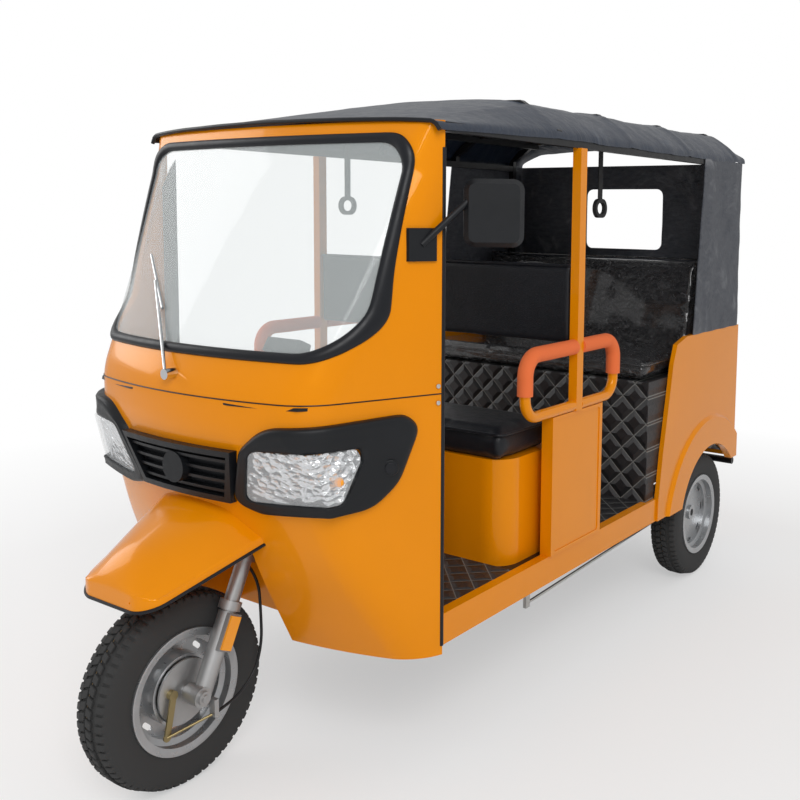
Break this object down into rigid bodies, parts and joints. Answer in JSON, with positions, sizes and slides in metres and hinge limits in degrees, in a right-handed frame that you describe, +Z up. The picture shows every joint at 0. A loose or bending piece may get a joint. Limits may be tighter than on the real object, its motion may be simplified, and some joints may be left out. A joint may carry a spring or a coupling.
{
  "type": "electric tricycle",
  "caption": "Canvas-roofed electric passenger tricycle with steered front wheel, windscreen cowl, driver's bench, passenger bench and rear curtain.",
  "frame": {"origin": "on the ground, at the middle of the vehicle's length and width", "axes": "+X to the vehicle's left, +Y backwards along it, +Z up"},
  "size_m": [1.4588, 2.8279, 1.886],
  "materials": {
    "paint_yellow": "gloss amber-yellow paint",
    "screen_glass": "clear laminated glass",
    "black_rubber": "satin black rubber",
    "black_plastic": "matt black moulding",
    "bezel_black": "matt black moulding",
    "lamp_chrome": "bright reflector",
    "lamp_lens": "clear polycarbonate",
    "frame_paint": "black paint",
    "black_mat": "quilted black sheet",
    "orange_foam": "orange-red foam",
    "canopy_vinyl": "black coated canvas",
    "curtain_vinyl": "worn black vinyl",
    "tail_red": "red lamp lens",
    "seat_leather": "black leatherette",
    "passenger_seat": "dark cover under clear film",
    "battery_case": "battery cases",
    "axle_iron": "black-painted iron",
    "spring_steel": "black spring steel",
    "zinc_steel": "zinc-plated steel",
    "bumper_paint": "black tube",
    "tyre_rubber": "tyre rubber",
    "rim_silver": "silver paint",
    "fork_alloy": "silver-painted alloy",
    "brake_alloy": "cast alloy",
    "zinc_yellow": "yellow-passivated zinc",
    "cable_sheath": "black cable sheath",
    "bar_paint": "black tube",
    "housing_grey": "pale grey housing",
    "amber_lens": "amber reflector",
    "mirror_shell": "matt black shell",
    "mirror_glass": "mirror glass",
    "strap_black": "black webbing and ring",
    "wiper_chrome": "bright wiper"
  },
  "bodies": {
    "chassis": {"cowl_lower": "paint_yellow", "cowl_upper": "paint_yellow", "windshield_glass": "screen_glass", "windshield_gasket": "black_rubber", "wheel_well": "black_plastic", "dashboard": "black_plastic", "front_fender": "paint_yellow", "lamp_bezels": "bezel_black", "headlamp_reflectors": "lamp_chrome", "headlamp_lenses": "lamp_lens", "grille": "bezel_black", "chassis_frame": "frame_paint", "floor_pan": "frame_paint", "floor_mat": "black_mat", "sills": "paint_yellow", "b_pillars": "paint_yellow", "grab_hoops": "paint_yellow", "hoop_grips": "orange_foam", "roof_canopy": "canopy_vinyl", "roof_frame": "frame_paint", "rear_curtain": "curtain_vinyl", "rear_sides": "paint_yellow", "rear_panel": "paint_yellow", "tail_lamps": "tail_red", "driver_seat_base": "paint_yellow", "driver_cushion": "seat_leather", "driver_backrest": "seat_leather", "passenger_seat_base": "black_mat", "battery_pack": "battery_case", "passenger_cushion": "passenger_seat", "passenger_backrest": "passenger_seat", "rear_axle": "axle_iron", "leaf_springs": "spring_steel", "brake_rods": "zinc_steel", "rear_bumper": "bumper_paint", "mirrors": "mirror_shell", "mirror_glasses": "mirror_glass", "hand_straps": "strap_black", "wiper": "wiper_chrome"},
    "steering": {"steering_stem": "frame_paint", "fork_legs": "fork_alloy", "handlebar": "bar_paint", "handlebar_grips": "black_rubber", "instrument_pod": "black_plastic", "front_spindle": "brake_alloy", "brake_arm": "zinc_yellow", "brake_cable": "cable_sheath", "reflector_housings": "housing_grey", "fork_reflectors": "amber_lens"},
    "front_wheel": {"front_tyre": "tyre_rubber", "front_rim": "rim_silver"},
    "rear_wheel_left": {"rear_left_tyre": "tyre_rubber", "rear_left_rim": "rim_silver"},
    "rear_wheel_right": {"rear_right_tyre": "tyre_rubber", "rear_right_rim": "rim_silver"}
  },
  "joints": [
    {"name": "steering", "type": "hinge", "parent": "chassis", "child": "steering", "pos_m": [0, -1.146, 0.237], "axis": [0, 0.4226, 0.9063], "range_deg": [-40, 40]},
    {"name": "front_wheel_spin", "type": "hinge", "parent": "steering", "child": "front_wheel", "pos_m": [0, -1.154, 0.26], "axis": [1, 0, 0], "continuous": true},
    {"name": "rear_left_spin", "type": "hinge", "parent": "chassis", "child": "rear_wheel_left", "pos_m": [0.48, 1.096, 0.26], "axis": [1, 0, 0], "continuous": true},
    {"name": "rear_right_spin", "type": "hinge", "parent": "chassis", "child": "rear_wheel_right", "pos_m": [-0.48, 1.096, 0.26], "axis": [1, 0, 0], "continuous": true}
  ]
}
